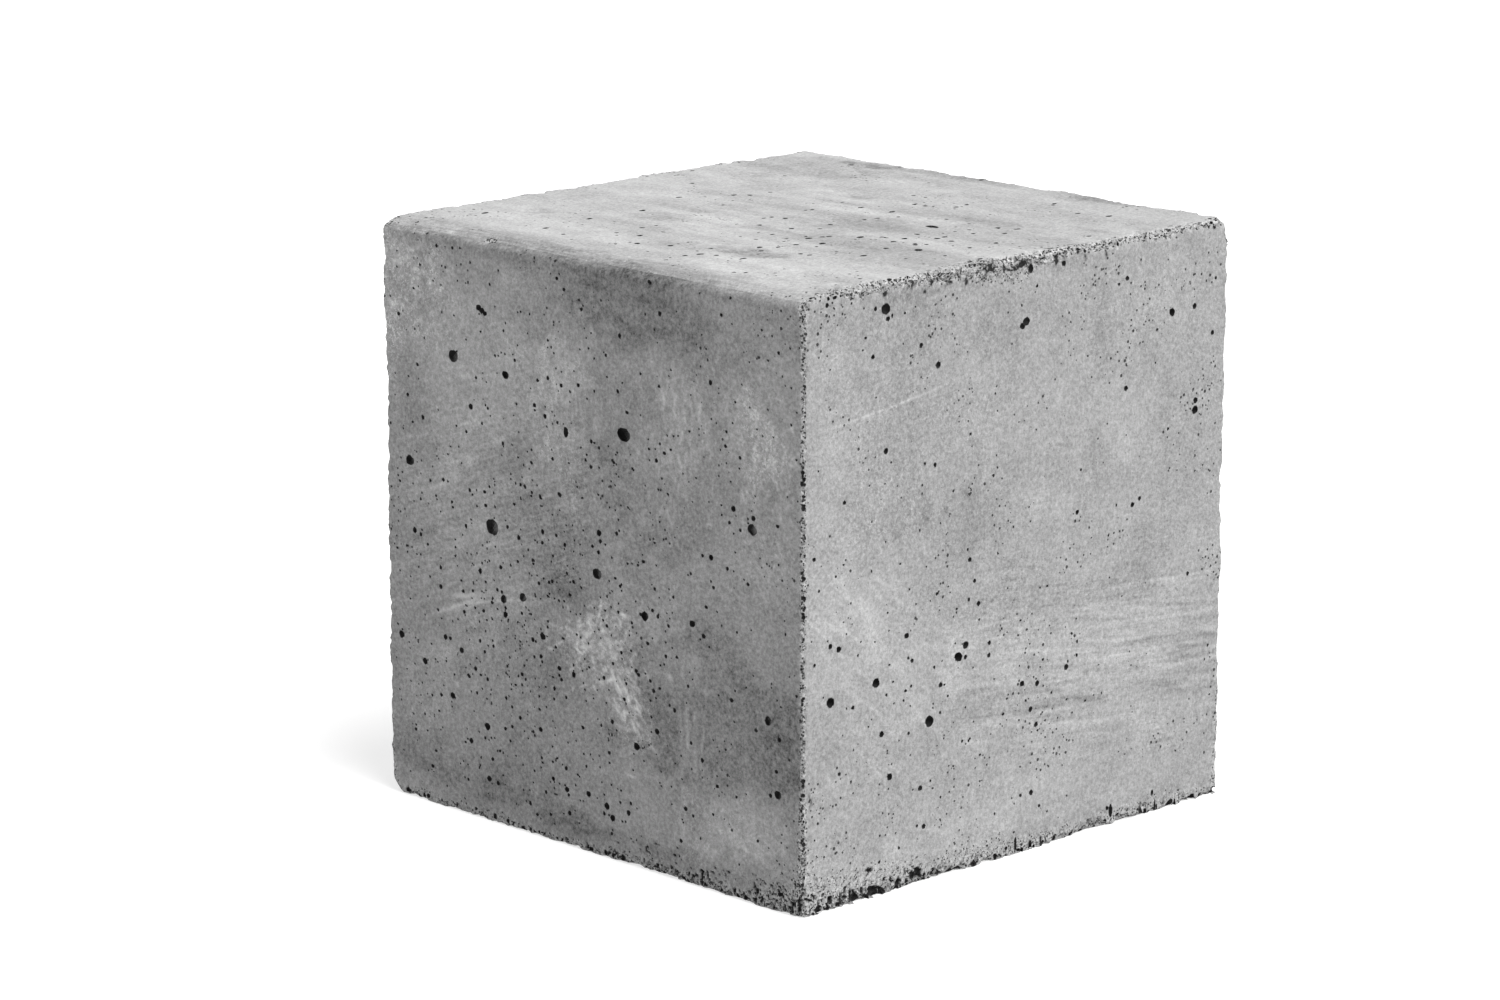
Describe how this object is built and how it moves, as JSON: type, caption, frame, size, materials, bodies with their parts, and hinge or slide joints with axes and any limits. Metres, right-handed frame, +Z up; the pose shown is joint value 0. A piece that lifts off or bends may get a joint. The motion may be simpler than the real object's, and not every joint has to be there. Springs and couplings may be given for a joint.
{
  "type": "concrete cube",
  "caption": "Cast concrete cube with small bug holes in its sides, a trowelled top and worn, sandy arrises; crushed stone inside.",
  "frame": {"origin": "centre of the base, on the surface that the cube stands on", "axes": "+Z up through the trowelled top; -Y and +X are the two cast sides that meet at the front arris"},
  "size_m": [0.15, 0.15, 0.15],
  "materials": {
    "concrete_mortar": "dry cast concrete, matte",
    "crushed_stone": "freshly crushed, matte"
  },
  "bodies": {
    "root": {"mortar_body": "concrete_mortar", "coarse_aggregate_40mm": "crushed_stone", "coarse_aggregate_20mm": "crushed_stone"}
  },
  "joints": []
}
